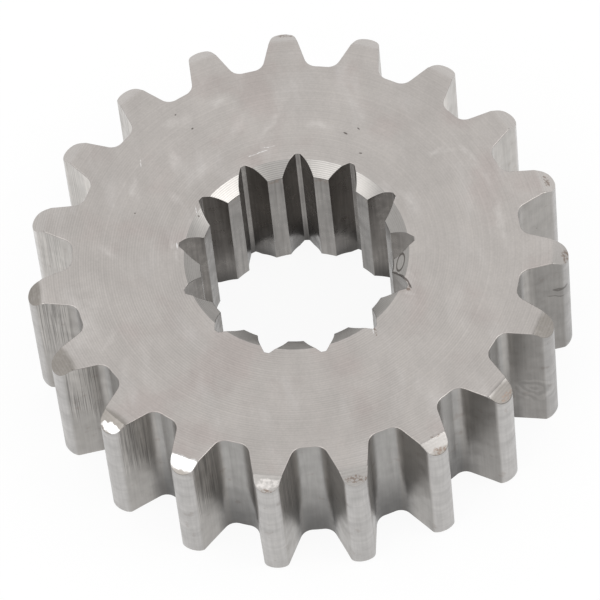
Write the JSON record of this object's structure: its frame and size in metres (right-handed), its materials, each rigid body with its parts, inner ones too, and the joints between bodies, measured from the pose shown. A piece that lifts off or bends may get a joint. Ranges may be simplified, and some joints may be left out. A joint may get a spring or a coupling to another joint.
{
  "type": "sprocket",
  "caption": "Steel sprocket wheel for an inverted-tooth chain, with straight-flanked teeth round its rim, chamfered tooth tips and a splined bore countersunk at both faces.",
  "frame": {"origin": "on the wheel's axis, half way through its width", "axes": "+Z along the wheel's axis, out of the upper face; the middle of one tooth points along -Y"},
  "size_m": [0.0574, 0.0573, 0.0174],
  "materials": {
    "steel": "turned faces and broached flanks, satin, lightly worn"
  },
  "bodies": {
    "root": {"sprocket": "steel"}
  },
  "joints": []
}
